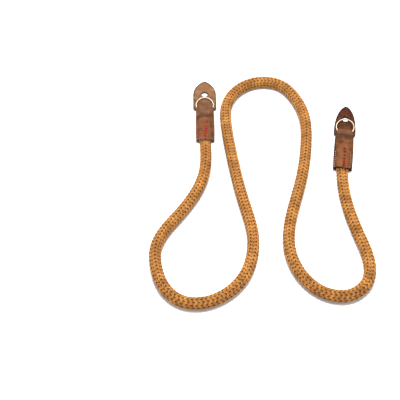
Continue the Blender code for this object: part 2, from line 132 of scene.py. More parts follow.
# The rope's middle line on the floor from the left mouth to the right one
ROUTE = (
    (-0.0699, -0.0571),
    (-0.0731, -0.0768),
    (-0.0825, -0.1005),
    (-0.0957, -0.1225),
    (-0.1085, -0.1421),
    (-0.1158, -0.1626),
    (-0.1147, -0.1844),
    (-0.1065, -0.2073),
    (-0.0911, -0.2213),
    (-0.0717, -0.2228),
    (-0.0529, -0.2139),
    (-0.0376, -0.1968),
    (-0.0286, -0.1727),
    (-0.0268, -0.1439),
    (-0.0332, -0.1090),
    (-0.0422, -0.0590),
    (-0.0489, -0.0039),
    (-0.0472, 0.0284),
    (-0.0331, 0.0500),
    (-0.0125, 0.0590),
    (0.0077, 0.0543),
    (0.0210, 0.0372),
    (0.0289, 0.0142),
    (0.0299, -0.0240),
    (0.0212, -0.0801),
    (0.0093, -0.1271),
    (0.0066, -0.1649),
    (0.0162, -0.1934),
    (0.0340, -0.2116),
    (0.0547, -0.2152),
    (0.0721, -0.2023),
    (0.0775, -0.1779),
    (0.0714, -0.1469),
    (0.0642, -0.1129),
)

# Worked out from the sizes above
ROPE_END_S = -ROPE_SETBACK
SQUEEZE_S = -(FOLD_DEPTH + SLEEVE_LEATHER) / 2
ROPE_FLAT_AFTER = MOUTH_LIP + CLEARANCE
LAYER_PITCH = SLEEVE_LEATHER + CLEARANCE
ROPE_FLAT_Z = LAYER_PITCH + ROPE_FLAT_HEIGHT / 2
BULGE_HALF_WIDTH = ROPE_FLAT_WIDTH / 2 + BULGE_SIDE
BULGE_HEIGHT = (ROPE_FLAT_HEIGHT + CLEARANCE) / 2
BACK_Z = SLEEVE_LEATHER / 2
DENT_Z = BACK_Z + LAYER_PITCH + DENT_LIFT
RING_RADIUS = RING_DIAMETER / 2
HOLE_RADIUS = HOLE_DIAMETER / 2
RING_HEIGHT = 2 * RING_WIRE_HEIGHT + RING_TURN_GAP
SLOT_TOP_S = SLOT_PLAY
SLOT_LOW_S = -FOLD_DEPTH - SLOT_BELOW_FOLD
TAB_LOW_S = SLOT_LOW_S - STRIP_WIDTH
TAB_TIP_S = TAB_LOW_S + TAB_LENGTH
TAB_LIFT = LAYER_PITCH

# The braid: each strand is two plies side by side, and passes over two and under two
STRANDS_A_WAY = 12
STRANDS_A_PIECE = 6
BRAID_REPEAT = 0.0041
STRAND_WIDTH = 0.0027
STRAND_THICK = 0.0015
STRAND_DIP = 0.0012
STRAND_STEP = 0.00103
STRAND_WAVE_POWER = 0.8
STRAND_DIP_SHADE = 0.2
OUTWARD_PROBE = 0.0004
CORD_PATH_POINTS = 260

# The outline of a strand's two plies, from the groove between them round one ply, and mirrored,
# as shares of the strand's width and thickness
PLY_GROOVE = (0.0, 0.02)
PLY_SIDE = ((0.11, 0.32), (0.22, 0.46), (0.36, 0.23), (0.49, -0.24), (0.22, -0.5))
PLY_SECTION = (PLY_GROOVE, *PLY_SIDE, *((-across, up) for across, up in reversed(PLY_SIDE)))

# The core under the strands
CORE_RADIUS = 0.0041
CORE_SIDES = 14
CORE_STEP = 0.002

# Shared by the fine meshes: how close vertices are joined, where rays start, how far below a ray's
# hit is still the upper face, and how cut edges are rounded
MERGE_DISTANCE = 1e-7
ABOVE_ALL = 0.05
TOP_FACE_DEPTH = 5e-5
RIM_ANGLE_DEG = 60.0
RIM_SEGMENTS = 3

# The sleeve's fine mesh
SLEEVE_RIM_ROUND = 0.0004
SLEEVE_RIM = 0.0006
SLEEVE_RIM_SHARE = 0.935
SLEEVE_COLUMNS = 61
FRONT_ROWS = 170
FOLD_ROWS = 16
BACK_ROWS = 36

# The protector's fine mesh
TAB_CELL = 0.0007
TAB_RIM_ROUND = 0.00035
TAB_CORNER_STEPS = 7
TAB_SIDE_STEPS = 6
TAB_TAPER_STEPS = 34
HOLE_STEPS = 32

# The ring's fine mesh, its painted shade on the inner face, and its patina with painted shade between the
# turns
WIRE_CORNER_POWER = 0.7
RING_STEP_DEG = 4.0
RING_LEAST_STEPS = 8
RING_OPENING_DEG = 10.0
INNER_SHADE_FROM = 0.1
INNER_SHADE_FADE = 0.3
INNER_SHADE_STRENGTH = 0.9
PATINA_AND_SHADE_BETWEEN = 0.6

# The studio
FLOOR_HALF_WIDTH = 3.0
FLOOR_TONE = (0.76, 0.76, 0.76, 1.0)
SKY_TONE = (1.0, 1.0, 1.0, 1.0)
SKY_STRENGTH = 1.0
LAMP_PLACE = (-0.04, 0.02, 1.7)
LAMP_AIM = (-0.02, -0.08, 0.0)
LAMP_SIZE = 0.5
LAMP_POWER = 49.0

# The camera stands where the photograph's did
CAMERA_ELEVATION_DEG = 49.0
CAMERA_DISTANCE = 1.08
CAMERA_AIM = (-0.0754, -0.0985, 0.0)
CAMERA_LENS = 102.06
CAMERA_SENSOR = 36.0
CAMERA_CLIP_START = 0.01


def colour(red, green, blue):
    """A screen colour, 0 to 255, as a shader takes it."""
    values = []
    for part in (red, green, blue):
        part /= 255.0
        values.append(part / 12.92 if part <= 0.04045 else ((part + 0.055) / 1.055) ** 2.4)
    return (*values, 1.0)


def ease(share):
    """0 to 1 with no slope at either end, for numbers and arrays."""
    share = np.clip(share, 0.0, 1.0)
    return share * share * (3.0 - 2.0 * share)


def row_named(columns, rows, name):
    """The row of a table that starts with a name, by its columns' names."""
    return dict(zip(columns, next(row for row in rows if row[0] == name)))


def bell(away, width):
    """1 in the middle, and softly to 0 on both sides of it."""
    return math.exp(-((away / width) ** 2))


def cloud(x, s, cells):
    """A soft value from -1 to 1 at a place on an end: cells to the metre each way, and a level."""
    across, along, level = cells
    return noise.noise(Vector((x * across, s * along, level)))


class End:
    """One leather end's frame on the floor, and its own cut."""

    def __init__(self, row):
        values = dict(zip(END_COLUMNS, row))
        self.name = values["name"]
        self.heading = math.radians(values["heading_deg"])
        self.place = np.array((values["fold_x"], values["fold_y"], 0.0))
        self.ring_s = values["ring_past_fold"]
        self.lean = math.radians(values["ring_lean_deg"])
        cut = row_named(CUT_COLUMNS, CUT_ROWS, self.name)
        self.mouth_s = -SLEEVE_LENGTH * cut["sleeve_length"]
        self.lip = MOUTH_LIP * cut["mouth_lip"]
        self.tab_half = TAB_WIDTH / 2 * cut["tab_width"]
        self.taper = TAB_LENGTH * cut["taper_of_tab"]
        self.tip_power = cut["tip_power"]
        self.hole_s = TAB_TIP_S - HOLE_FROM_TIP * cut["hole_from_tip"]
        self.ring_low_s = self.ring_s - RING_RADIUS * math.cos(self.lean)
        across = (math.cos(self.heading), -math.sin(self.heading), 0.0)
        along = (math.sin(self.heading), math.cos(self.heading), 0.0)
        self.axes = np.array((across, along, (0.0, 0.0, 1.0)))

    def matrix(self):
        """From the end's frame to the floor's."""
        made = Matrix(self.axes.T.tolist()).to_4x4()
        made.translation = Vector(self.place)
        return made

    def local(self, points):
        """Points of the floor's frame in the end's frame."""
        return (np.asarray(points) - self.place) @ self.axes.T

    def world(self, points):
        """Points of the end's frame in the floor's frame."""
        return np.asarray(points) @ self.axes + self.place

    def ring_z(self):
        """Height of the ring's middle: it rests on the protector's strip or the back layer."""
        half_height = RING_HEIGHT / 2 / math.cos(self.lean)
        on_strip = TAB_LIFT + TAB_LEATHER + CLEARANCE
        on_strip += (self.ring_s - TAB_LOW_S) * math.tan(self.lean)
        on_back = LAYER_PITCH + RING_RADIUS * math.sin(self.lean)
        return max(on_strip, on_back) + half_height

    def ring_top(self, s):
        """Height of the ring's upper face at a place along the end."""
        middle = self.ring_z() + RING_HEIGHT / 2 / math.cos(self.lean)
        return middle + (s - self.ring_s) * math.tan(self.lean)


def smooth_route(points):
    """Close points on a cubic spline through the route, with no sudden change of bend."""
    gaps = np.linalg.norm(np.diff(points, axis=0), axis=1)
    size = len(points)
    weights = np.zeros((size, size))
    pull = np.zeros((size, 2))
    weights[0, 0] = weights[-1, -1] = 1.0
    pull[0] = (points[1] - points[0]) / gaps[0]
    pull[-1] = (points[-1] - points[-2]) / gaps[-1]
    for i in range(1, size - 1):
        before, after = gaps[i - 1], gaps[i]
        weights[i, i - 1 : i + 2] = (after, 2.0 * (before + after), before)
        step_in = (points[i] - points[i - 1]) * after / before
        step_out = (points[i + 1] - points[i]) * before / after
        pull[i] = 3.0 * (step_in + step_out)
    slopes = np.linalg.solve(weights, pull)
    fine = []
    for i in range(size - 1):
        for t in np.linspace(0.0, 1.0, ROUTE_STEPS, endpoint=False):
            near = (1.0 + 2.0 * t) * (1.0 - t) ** 2
            leave = t * (1.0 - t) ** 2 * gaps[i]
            arrive = -(t**2) * (1.0 - t) * gaps[i]
            point = near * points[i] + (1.0 - near) * points[i + 1]
            fine.append(point + leave * slopes[i] + arrive * slopes[i + 1])
    fine.append(points[-1])
    return np.array(fine)


class RopeLine:
    """The rope's middle line on the floor, and places round it."""

    def __init__(self, ends):
        self.ends = ends
        in_sleeve = []
        for end in ends:
            outside = end.mouth_s - ROPE_LEAVES_STRAIGHT
            along = (ROPE_END_S, (ROPE_END_S + outside) / 2, outside)
            in_sleeve.append([end.world((0.0, s, 0.0))[:2] for s in along])
        self.fine = smooth_route(np.array(in_sleeve[0] + list(ROUTE) + in_sleeve[1][::-1]))
        lengths = np.linalg.norm(np.diff(self.fine, axis=0), axis=1)
        self.run = np.concatenate(([0.0], np.cumsum(lengths)))
        self.length = self.run[-1]
        slope = np.gradient(self.fine, self.run, axis=0)
        self.slope = slope / np.linalg.norm(slope, axis=1)[:, None]

    def around(self, run, angle, radius):
        """Points at a radius from the line. Angle 0 is up and a quarter turn is to the left."""
        x = np.interp(run, self.run, self.fine[:, 0])
        y = np.interp(run, self.run, self.fine[:, 1])
        forward_x = np.interp(run, self.run, self.slope[:, 0])
        forward_y = np.interp(run, self.run, self.slope[:, 1])
        out = radius * np.sin(angle)
        up = ROPE_RADIUS + radius * np.cos(angle)
        points = np.stack((x - forward_y * out, y + forward_x * out, up), axis=-1)
        return self.pressed(points, run)

    def pressed(self, points, run):
        """Press the rope flat in the sleeves, and let it grow round again past the mouths."""
        near = SLEEVE_LENGTH - ROPE_SETBACK + ROPE_ROUND_AFTER
        for end, inside in zip(self.ends, (run < near, run > self.length - near)):
            if not np.any(inside):
                continue
            local = end.local(points)
            out = end.mouth_s - local[..., 1]
            press = 1.0 - ease((out - ROPE_FLAT_AFTER) / (ROPE_ROUND_AFTER - ROPE_FLAT_AFTER))
            press = np.where(inside, press, 0.0)
            across = local[..., 0] / ROPE_RADIUS
            upward = (local[..., 2] - ROPE_RADIUS) / ROPE_RADIUS
            power = 2.0 / ROPE_FLAT_POWER
            flat_x = np.sign(across) * np.abs(across) ** power * ROPE_FLAT_WIDTH / 2
            flat_z = np.sign(upward) * np.abs(upward) ** power * ROPE_FLAT_HEIGHT / 2
            local[..., 0] += (flat_x - local[..., 0]) * press
            local[..., 2] += (ROPE_FLAT_Z + flat_z - local[..., 2]) * press
            points = end.world(local)
        return points


def made_mesh(name, shape):
    """A smooth mesh from a shape, which is used up."""
    mesh = bpy.data.meshes.new(name)
    shape.to_mesh(mesh)
    shape.free()
    mesh.shade_smooth()
    return mesh


def close_skin(shape):
    """Join a rolled or spun skin's doubled vertices, cap its ends and turn its faces outwards."""
    bmesh.ops.remove_doubles(shape, verts=shape.verts[:], dist=MERGE_DISTANCE)
    bmesh.ops.holes_fill(shape, edges=[edge for edge in shape.edges if edge.is_boundary], sides=0)
    bmesh.ops.recalc_face_normals(shape, faces=shape.faces[:])


def add_piece(name, mesh, finish):
    """Put a finished mesh in the scene as a piece that rides on the strap."""
    piece = bpy.data.objects.new(name, mesh)
    bpy.context.scene.collection.objects.link(piece)
    mesh.materials.append(finish)
    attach(piece, "root")
    return piece


def laid_tubes(name, points, values):
    """Closed tubes from a table of points, (tube, row, side, xyz), and a table of values for each
    named attribute. Each tube is a grid that is rolled up and capped."""
    count, rows, sides = points.shape[:3]
    shape = bmesh.new()
    for number in range(count):
        layer = Matrix.Translation((0.0, 0.0, float(number)))
        bmesh.ops.create_grid(shape, x_segments=sides, y_segments=rows - 1, size=1.0, matrix=layer)
    mesh = made_mesh(name, shape)
    flat = np.empty(len(mesh.vertices) * 3)
    mesh.vertices.foreach_get("co", flat)
    grid = flat.reshape(-1, 3)
    side = np.rint((grid[:, 0] + 1.0) / 2.0 * sides).astype(int) % sides
    row = np.rint((grid[:, 1] + 1.0) / 2.0 * (rows - 1)).astype(int)
    number = np.rint(grid[:, 2]).astype(int)
    mesh.vertices.foreach_set("co", points[number, row, side].ravel())
    for label, table in values.items():
        layer = mesh.attributes.new(label, "FLOAT", "POINT")
        layer.data.foreach_set("value", table[number, row, side].ravel())
    shape = bmesh.new()
    shape.from_mesh(mesh)
    close_skin(shape)
    shape.to_mesh(mesh)
    shape.free()
    mesh.shade_smooth()
    return mesh


def core_mesh(line):
    """The rope's core, seen only between the strands."""
    rows = round(line.length / CORE_STEP) + 1
    run = np.linspace(0.0, line.length, rows)[:, None]
    angle = np.linspace(0.0, 2.0 * np.pi, CORE_SIDES, endpoint=False)[None, :]
    points = line.around(run + 0.0 * angle, angle + 0.0 * run, CORE_RADIUS)
    return laid_tubes("rope_core", points[None], {})


def strand_mesh(name, line, way, numbers):
    """Some of the strands that wind one way, +1 or -1, over two and under two of the others."""
    lead = STRANDS_A_WAY * BRAID_REPEAT
    rows = round(line.length / STRAND_STEP) + 1
    run = np.linspace(0.0, line.length, rows)
    first = np.array(numbers) * 2.0 * np.pi / STRANDS_A_WAY
    angle = first[:, None] + way * 2.0 * np.pi * run[None, :] / lead
    column = angle * STRANDS_A_WAY / (2.0 * np.pi)
    wave = way * np.cos(np.pi * (column - 0.5))
    over = np.sign(wave) * np.abs(wave) ** STRAND_WAVE_POWER
    radius = ROPE_RADIUS - STRAND_THICK / 2 - STRAND_DIP * (1.0 - over) / 2
    run = np.broadcast_to(run, angle.shape)
    middle = line.around(run, angle, radius)
    outside = line.around(run, angle, radius + OUTWARD_PROBE)
    forward = np.gradient(middle, axis=1)
    forward /= np.linalg.norm(forward, axis=2)[..., None]
    sideways = np.cross(forward, outside - middle)
    sideways /= np.linalg.norm(sideways, axis=2)[..., None]
    outward = np.cross(sideways, forward)
    section = np.array(PLY_SECTION)
    wide = section[:, 0, None] * STRAND_WIDTH
    high = section[:, 1, None] * STRAND_THICK
    points = middle[:, :, None] + sideways[:, :, None] * wide + outward[:, :, None] * high
    shape = points.shape[:3]
    # Painted shade: a strand darkens where it dives under the others, at its sides and in the groove
    # between its plies
    lit = (1.0 - STRAND_DIP_SHADE) + STRAND_DIP_SHADE * over[..., None]
    values = {
        "across": np.broadcast_to(section[:, 0], shape),
        "along": np.broadcast_to((run / STRAND_WIDTH)[..., None], shape),
        "raised": lit * (0.5 + section[:, 1]),
    }
    return laid_tubes(name, points, values)


# Finishes


class Finish:
    """A named shader that is put together step by step."""

    def __init__(self, name, roughness, specular):
        self.material = bpy.data.materials.new(name)
        self.material.use_nodes = True
        self.tree = self.material.node_tree
        self.shader = self.tree.nodes["Principled BSDF"]
        self.shader.inputs["Roughness"].default_value = roughness
        self.shader.inputs["Specular IOR Level"].default_value = specular
        self.place = self.tree.nodes.new("ShaderNodeTexCoord").outputs["Object"]

    def feed(self, value, socket):
        """Lead another socket into this one, or set it to a plain number or colour."""
        if isinstance(value, (int, float, tuple)):
            socket.default_value = value
        else:
            self.tree.links.new(value, socket)

    def attribute(self, name):
        """A value that the piece's mesh carries."""
        made = self.tree.nodes.new("ShaderNodeAttribute")
        made.attribute_name = name
        return made.outputs["Fac"]

    def grain(self, scale, detail=3.0, roughness=0.5):
        """Cloudy noise over the piece, scale in cells to the metre."""
        made = self.tree.nodes.new("ShaderNodeTexNoise")
        made.inputs["Scale"].default_value = scale
        made.inputs["Detail"].default_value = detail
        made.inputs["Roughness"].default_value = roughness
        self.feed(self.place, made.inputs["Vector"])
        return made.outputs["Fac"]

    def pebbles(self, scale):
        """Leather's small cells."""
        made = self.tree.nodes.new("ShaderNodeTexVoronoi")
        made.inputs["Scale"].default_value = scale
        self.feed(self.place, made.inputs["Vector"])
        return made.outputs["Distance"]

    def streaks(self, across, along):
        """Fine streaks along the ends, in cells to the metre across and along them."""
        turned = self.tree.nodes.new("ShaderNodeMapping")
        turned.inputs["Scale"].default_value = (across, along, across)
        self.feed(self.place, turned.inputs["Vector"])
        made = self.tree.nodes.new("ShaderNodeTexNoise")
        made.inputs["Scale"].default_value = 1.0
        self.feed(turned.outputs["Vector"], made.inputs["Vector"])
        return made.outputs["Fac"]

    def combine(self, kind, first, second):
        """Two values added, multiplied and so on. Either can be a number."""
        made = self.tree.nodes.new("ShaderNodeMath")
        made.operation = kind
        for value, socket in zip((first, second), made.inputs):
            self.feed(value, socket)
        return made.outputs[0]

    def ramp(self, value, stops):
        """Colours at places along a value."""
        made = self.tree.nodes.new("ShaderNodeValToRGB")
        band = made.color_ramp
        while len(band.elements) < len(stops):
            band.elements.new(0.5)
        for element, (place, tone) in zip(band.elements, stops):
            element.position = place
            element.color = tone
        self.feed(value, made.inputs["Fac"])
        return made.outputs["Color"]

    def blend(self, share, first, second, kind="MIX"):
        """Two colours mixed. Either can be a plain colour."""
        made = self.tree.nodes.new("ShaderNodeMix")
        made.data_type = "RGBA"
        made.blend_type = kind
        for value, socket in ((share, "Factor"), (first, 6), (second, 7)):
            self.feed(value, made.inputs[socket])
        return made.outputs[2]

    def relief(self, height, distance, strength=1.0, under=None):
        """Bumps as deep as distance, on top of other bumps."""
        made = self.tree.nodes.new("ShaderNodeBump")
        made.inputs["Distance"].default_value = distance
        made.inputs["Strength"].default_value = strength
        self.feed(height, made.inputs["Height"])
        if under is not None:
            self.feed(under, made.inputs["Normal"])
        return made.outputs["Normal"]

    def done(self, tone, normal=None):
        """The material, with its colour and bumps led into the shader."""
        self.feed(tone, self.shader.inputs["Base Color"])
        if normal is not None:
            self.feed(normal, self.shader.inputs["Normal"])
        return self.material


def yarn_finish():
    """Matt ochre yarn, with painted shade between the plies, at a strand's sides and where a strand dives
    under the others.
    """
    made = Finish("ochre_yarn", 0.75, 0.2)
    made.shader.inputs["Sheen Weight"].default_value = 0.05
    clouds = made.combine("MULTIPLY", made.grain(110.0), 0.3)
    flecks = made.combine("MULTIPLY", made.grain(1600.0), 0.34)
    value = made.combine("ADD", made.attribute("raised"), made.combine("ADD", clouds, flecks))
    stops = ((0.58, (31, 14, 3)), (0.9, (78, 40, 11)), (1.08, (137, 85, 30)), (1.26, (215, 152, 76)))
    greatest = 1.3
    share = made.combine("DIVIDE", value, greatest)
    tone = made.ramp(share, [(place / greatest, colour(*dye)) for place, dye in stops])
    fibres_across = 44.0
    fibres_along = 6.0
    fibres = made.combine("MULTIPLY", made.attribute("across"), fibres_across)
    twist = made.combine("MULTIPLY", made.attribute("along"), fibres_along)
    lines = made.combine("SINE", made.combine("ADD", fibres, twist), 0.0)
    normal = made.relief(lines, 0.00012, 0.7)
    return made.done(tone, made.relief(made.grain(4000.0), 0.0001, 0.5, normal))


def core_finish():
    """The same yarn, coloured dark as painted shade between the strands."""
    made = Finish("shaded_yarn", 0.9, 0.1)
    tone = made.ramp(made.grain(900.0), ((0.3, colour(24, 10, 3)), (0.7, colour(44, 20, 6))))
    return made.done(tone, made.relief(made.grain(3000.0), 0.0002))


def nickel_finish():
    """Bright nickel plate with a warm cast, with painted shade on its inner face and patina with painted
    shade between the turns.
    """
    made = Finish("bright_nickel", 0.5, 0.5)
    made.shader.inputs["Metallic"].default_value = 1.0
    tone = made.ramp(made.grain(300.0), ((0.35, colour(163, 144, 122)), (0.65, colour(183, 165, 143))))
    # Painted shade: the wire darkens on its inner face, and between the turns with patina as well
    tone = made.blend(made.attribute("shade_and_patina"), tone, colour(34, 23, 15))
    return made.done(tone, made.relief(made.grain(2500.0), 0.00003, 0.4))


def thread_finish(name, dark, light):
    """Waxed thread, between two screen colours."""
    made = Finish(name, 0.7, 0.04)
    tone = made.ramp(made.grain(1800.0), ((0.3, colour(*dark)), (0.7, colour(*light))))
    return made.done(tone, made.relief(made.grain(5000.0), 0.00008))


THREAD_TONES = {
    "red": ((94, 6, 6), (155, 17, 17)),
    "faded": ((108, 46, 35), (139, 70, 55)),
    "deep_red": ((66, 3, 1), (104, 9, 3)),
    "tan": ((128, 84, 60), (170, 122, 92)),
    "rose": ((146, 92, 84), (192, 146, 134)),
    "brown": ((57, 28, 21), (86, 46, 35)),
}

# Each leather's roughness, the share of specks in its dye, its dye's three tones, and the tones of
# its lighter places, its stains and its edges; the edge tone also colours the painted shade
LEATHER_COLUMNS = ("roughness", "speckle", "dark", "middle", "light", "lighter_tone", "stain", "edge")
LEATHER_ROWS = {
    "left_sleeve": (
        0.6, 0.3, (58, 34, 19), (81, 50, 29), (103, 67, 42), (106, 65, 36), (122, 22, 17), (112, 79, 66),
    ),
    "right_sleeve": (
        0.6, 0.3, (57, 33, 16), (81, 48, 25), (106, 64, 35), (113, 68, 38), (124, 29, 20), (35, 13, 8),
    ),
    "left_tab": (
        0.52, 0.25, (82, 57, 40), (109, 79, 55), (132, 98, 73), (120, 79, 48), (96, 71, 53), (62, 46, 39),
    ),
    "right_tab": (
        0.52, 0.7, (29, 10, 3), (61, 26, 12), (91, 46, 24), (89, 53, 20), (96, 18, 8), (26, 11, 6),
    ),
}


def leather_finish(name):
    """Smooth leather: cloudy dye, specks, fine streaks, lighter places, stains, and painted edges whose
    tone also paints shade.
    """
    look = dict(zip(LEATHER_COLUMNS, LEATHER_ROWS[name]))
    made = Finish(f"{name}_leather", look["roughness"], 0.11)
    clouds = made.combine("MULTIPLY", made.grain(150.0, 5.0, 0.6), 1.0 - look["speckle"])
    specks = made.combine("MULTIPLY", made.grain(560.0, 3.0, 0.7), look["speckle"])
    streaks = made.combine("MULTIPLY", made.streaks(500.0, 60.0), 0.3)
    value = made.combine("ADD", made.combine("ADD", clouds, specks), streaks)
    stops = ((0.56, "dark"), (0.65, "middle"), (0.75, "light"))
    tone = made.ramp(value, [(place, colour(*look[dye])) for place, dye in stops])
    redder = (1.0, 0.76, 0.66, 1.0)
    greener = (0.83, 1.0, 0.92, 1.0)
    cast = made.ramp(made.streaks(320.0, 110.0), ((0.4, redder), (0.6, greener)))
    tone = made.blend(0.85, tone, cast, "MULTIPLY")
    for place in ("lighter_tone", "stain", "edge"):
        tone = made.blend(made.attribute(place), tone, colour(*look[place]))
    pores = made.relief(made.pebbles(1900.0), 0.00012, 0.5)
    creases = made.relief(made.grain(420.0, 4.0, 0.65), 0.0005, 0.35, pores)
    return made.done(tone, creases)


# The leather ends

# What a leather piece's vertices carry for its finish, each from 0 to 1; the edge value also carries
# painted shade
MARKS = ("edge", "stain", "lighter_tone")


def neck_half_width(end, s):
    """Half the neck's width: it fills the ring, and is squeezed where the ring is narrower."""
    inside_fold = np.maximum(s - SLEEVE_LEATHER / 2, SQUEEZE_S)
    past_middle = (inside_fold - end.ring_s) / math.cos(end.lean)
    inner = RING_RADIUS - RING_WIRE_WIDTH
    squeezed = np.sqrt(np.maximum(0.0, inner**2 - past_middle**2)) - NECK_PLAY
    squeezed = np.minimum(NECK_WIDTH / 2, squeezed)
    return squeezed + (NECK_WIDTH / 2 - squeezed) * ease((SQUEEZE_S - s) / NECK_LENGTH)


def half_width(end, s):
    """Half the sleeve's width at s: the neck, the shoulder and a slight swell."""
    neck = neck_half_width(end, s)
    shoulder = ease((-s - NECK_LENGTH) / SHOULDER_LENGTH)
    below = np.maximum(0.0, -s - NECK_LENGTH - SHOULDER_LENGTH)
    swell = np.sin(np.pi * below / (SLEEVE_LENGTH - NECK_LENGTH - SHOULDER_LENGTH))
    return neck + (SLEEVE_WIDTH / 2 - neck) * shoulder + SLEEVE_SWELL * swell


def bulge(x):
    """Share of the bulge over the rope: 1 in the middle, softly to 0 at its foot."""
    rise = 1.0 - (np.abs(x) / BULGE_HALF_WIDTH) ** BULGE_POWER
    return (rise + np.hypot(rise, BULGE_SOFT)) / (1.0 + math.hypot(1.0, BULGE_SOFT))


def over_rope(x, s):
    """0 before the rope's end, 1 over the rope. It starts later at the sides, as an arch."""
    start = ROPE_END_S + CLEARANCE + BULGE_RISE + BULGE_LEAD
    return ease((start - BULGE_ARCH * (x / BULGE_HALF_WIDTH) ** 2 - s) / BULGE_RISE)


def front_middle(end, x, s):
    """Middle height of the front layer: over the ring, down, and up over the rope."""
    cover = end.ring_top(np.maximum(s, end.ring_low_s - DENT_FALL)) + RING_PLAY + SLEEVE_LEATHER / 2
    over_ring = (cover - DENT_Z) * (1.0 - ease((end.ring_low_s - s) / DENT_FALL))
    flange = ROPE_FLAT_Z + LAYER_PITCH / 2 - DENT_Z
    return DENT_Z + over_ring + (flange + BULGE_HEIGHT * bulge(x)) * over_rope(x, s)


def back_middle(x, s):
    """Middle height of the back layer: flat on the floor, its edges up at the rope."""
    edge = ROPE_FLAT_Z - LAYER_PITCH / 2 - BACK_Z
    return BACK_Z + np.maximum(0.0, edge - SEAT_SHARE * edge * bulge(x)) * over_rope(x, s)


def sleeve_sheet(end):
    """The folded strip's middle surface, (row, column, xyz), from mouth to fold to mouth."""
    rim = end.mouth_s + SLEEVE_RIM
    share = np.linspace(-SLEEVE_RIM_SHARE, SLEEVE_RIM_SHARE, SLEEVE_COLUMNS)
    share = np.concatenate(([-1.0], share, [1.0]))[None, :]
    front_s = np.concatenate(([end.mouth_s], np.linspace(rim, -FOLD_DEPTH, FRONT_ROWS)))[:, None]
    back_s = np.concatenate((np.linspace(-FOLD_DEPTH, rim, BACK_ROWS), [end.mouth_s]))[:, None]
    turn = np.linspace(np.pi / 2, -np.pi / 2, FOLD_ROWS)[1:-1, None]
    x = share * half_width(end, front_s)
    reach = ease((ROPE_END_S - front_s) / (ROPE_END_S - end.mouth_s))
    front = np.stack((x, front_s - end.lip * bulge(x) * reach, front_middle(end, x, front_s)), axis=-1)
    fold_s = -FOLD_DEPTH + (FOLD_DEPTH - SLEEVE_LEATHER / 2) * np.cos(turn)
    top = front_middle(end, 0.0, -FOLD_DEPTH)
    fold_z = (top + BACK_Z) / 2 + (top - BACK_Z) / 2 * np.sin(turn)
    flat = 0.0 * share
    fold = np.stack((share * half_width(end, fold_s), fold_s + flat, fold_z + flat), axis=-1)
    x = share * half_width(end, back_s)
    back = np.stack((x, back_s + flat, back_middle(x, back_s)), axis=-1)
    return np.concatenate((front, fold, back))


def finished_copy(name, mesh, modifiers):
    """The mesh with modifiers made part of it."""
    piece = bpy.data.objects.new(name, mesh)
    bpy.context.scene.collection.objects.link(piece)
    for kind, settings in modifiers:
        modifier = piece.modifiers.new(kind.lower(), kind)
        for setting, value in settings.items():
            setattr(modifier, setting, value)
    bpy.context.view_layer.update()
    made = bpy.data.meshes.new_from_object(piece.evaluated_get(bpy.context.evaluated_depsgraph_get()))
    bpy.data.objects.remove(piece)
    made.name = name
    return made


def round_rims(shape, width):
    """Bevel the cut edges of a piece of leather."""
    limit = math.radians(RIM_ANGLE_DEG)
    cut = [e for e in shape.edges if len(e.link_faces) == 2 and e.calc_face_angle() > limit]
    bmesh.ops.bevel(
        shape, geom=cut, offset=width, segments=RIM_SEGMENTS, profile=0.5,
        affect="EDGES", clamp_overlap=True, material=-1,
    )


def even(first, last, count):
    """Even places from first to last."""
    return tuple(first + (last - first) * number / (count - 1) for number in range(count))


# Each row of stitches: its places along the end, its first and last place across, a stitch's
# length and its width at the row's first and last stitch, its slant, how far it sinks in its
# hole, and the holes' size and depth
STITCH_COLUMNS = (
    "end", "thread", "places", "x", "last_x",
    "length", "width", "last_width", "slant_deg", "sink", "hole", "depth",
)
STITCH_ROWS = (
    (
        "left", "red", even(-0.0292, -0.0474, 6), 0.0012, -0.0001,
        0.0042, 0.0011, 0.0018, 52.0, 0.1, 0.0007, 0.0004,
    ),
    (
        "left", "faded", even(-0.0318, -0.0486, 7), -0.0079, -0.0079,
        0.0018, 0.0008, 0.0008, 3.0, 0.1, 0.0005, 0.0005,
    ),
    (
        "left", "brown", even(-0.0318, -0.0486, 7), 0.0077, 0.0077,
        0.0018, 0.0006, 0.0006, -3.0, 0.3, 0.0005, 0.0005,
    ),
    (
        "right", "deep_red", (-0.0274, -0.0317, -0.0362, -0.0411, -0.0449, -0.0481, -0.0507),
        0.0011, 0.0009, 0.0026, 0.0017, 0.0020, 20.0, 0.2, 0.0010, 0.0008,
    ),
    (
        "right", "rose", even(-0.0306, -0.0504, 8), -0.0079, -0.0079,
        0.0016, 0.0009, 0.0009, 3.0, 0.2, 0.0005, 0.0007,
    ),
    (
        "right", "tan", even(-0.0306, -0.0504, 8), 0.0066, 0.0068,
        0.0017, 0.0009, 0.0009, -3.0, 0.1, 0.0006, 0.0009,
    ),
)


def rows_of(end):
    """The stitch rows of an end, by column name."""
    rows = [dict(zip(STITCH_COLUMNS, row)) for row in STITCH_ROWS]
    return [row for row in rows if row["end"] == end.name]


def holes_of(end):
    """The pricked holes, (x, s, radius, depth): under a middle stitch, or beside a side stitch."""
    holes = []
    for row in rows_of(end):
        places = np.array(row["places"])
        shift = 0.0 if abs(row["x"]) < SLEEVE_WIDTH / 4 else (places[0] - places[1]) / 2
        across = np.linspace(row["x"], row["last_x"], len(places))
        holes += [(x, s + shift, row["hole"], row["depth"]) for x, s in zip(across, places)]
    return np.array(holes)


# The seam's pressed groove, soft creases and puckers, how dark the painted shade in the pricked holes is,
# and where the painted shade of the band behind the ring lies
SEAM_X = 0.0078
SEAM_WIDTH = 0.0006
SEAM_DEPTH = 0.00016
SEAM_TOP_S = -0.027
SEAM_FADE = 0.002
CREASE_CLOUD = (90.0, 380.0, 3.0)
CREASE_DEPTH = 0.00016
PUCKER_CLOUD = (240.0, 240.0, 9.0)
PUCKER_DEPTH = 0.0001
HOLE_SHADE = 0.8
SHADE_BAND_S = -0.0095
SHADE_BAND_WIDTH = 0.0028

